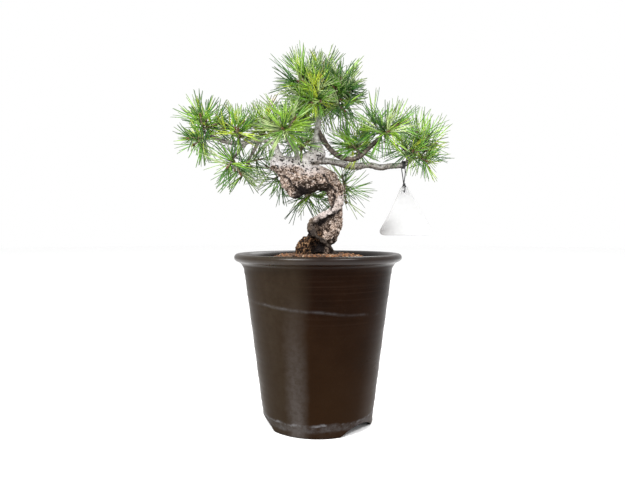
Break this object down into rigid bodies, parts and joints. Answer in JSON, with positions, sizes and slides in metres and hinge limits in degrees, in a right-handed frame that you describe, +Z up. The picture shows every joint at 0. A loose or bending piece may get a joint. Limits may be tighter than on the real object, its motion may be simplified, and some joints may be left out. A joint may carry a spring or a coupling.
{
  "type": "potted white pine bonsai",
  "caption": "Small twisted white pine bonsai with burled trunk, spreading boughs and needle tufts, in a deep round dark glazed training pot with a blank hanging label.",
  "frame": {"origin": "middle of the pot's foot, on the surface it stands on", "axes": "+Z up, +X to the tree's right as seen from the front, front faces -Y"},
  "size_m": [0.2743, 0.16, 0.366],
  "materials": {
    "glaze": "semi-gloss dark brown glaze with pale mineral stains",
    "soil": "loose red-brown granules of fired clay",
    "bark": "rough pinkish-grey flaking bark",
    "needles": "fine waxy green needles",
    "label": "smooth white sheet, bare",
    "tie": "matt dark elastic"
  },
  "bodies": {
    "root": {"pot": "glaze", "soil": "soil", "trunk": "bark", "bough_left": "bark", "bough_left_low": "bark", "bough_left_inner": "bark", "bough_front": "bark", "bough_right_long": "bark", "bough_right_short": "bark", "bough_top_right": "bark", "bough_back": "bark", "bough_back_low": "bark", "bough_back_right": "bark", "foliage_top": "needles", "foliage_top_left": "needles", "foliage_top_side": "needles", "foliage_top_right": "needles", "foliage_top_low": "needles", "foliage_top_back": "needles", "foliage_top_front": "needles", "foliage_left_tip": "needles", "foliage_left_under": "needles", "foliage_left_upright": "needles", "foliage_left_mid": "needles", "foliage_front": "needles", "foliage_left_low": "needles", "foliage_left_inner": "needles", "foliage_inner": "needles", "foliage_back_left": "needles", "foliage_back_low": "needles", "foliage_back_right": "needles", "foliage_back": "needles", "foliage_right_inner": "needles", "foliage_right_mid": "needles", "foliage_right_gap": "needles", "foliage_right_tip": "needles", "foliage_right_under": "needles", "label": "label", "label_tie": "tie"}
  },
  "joints": []
}
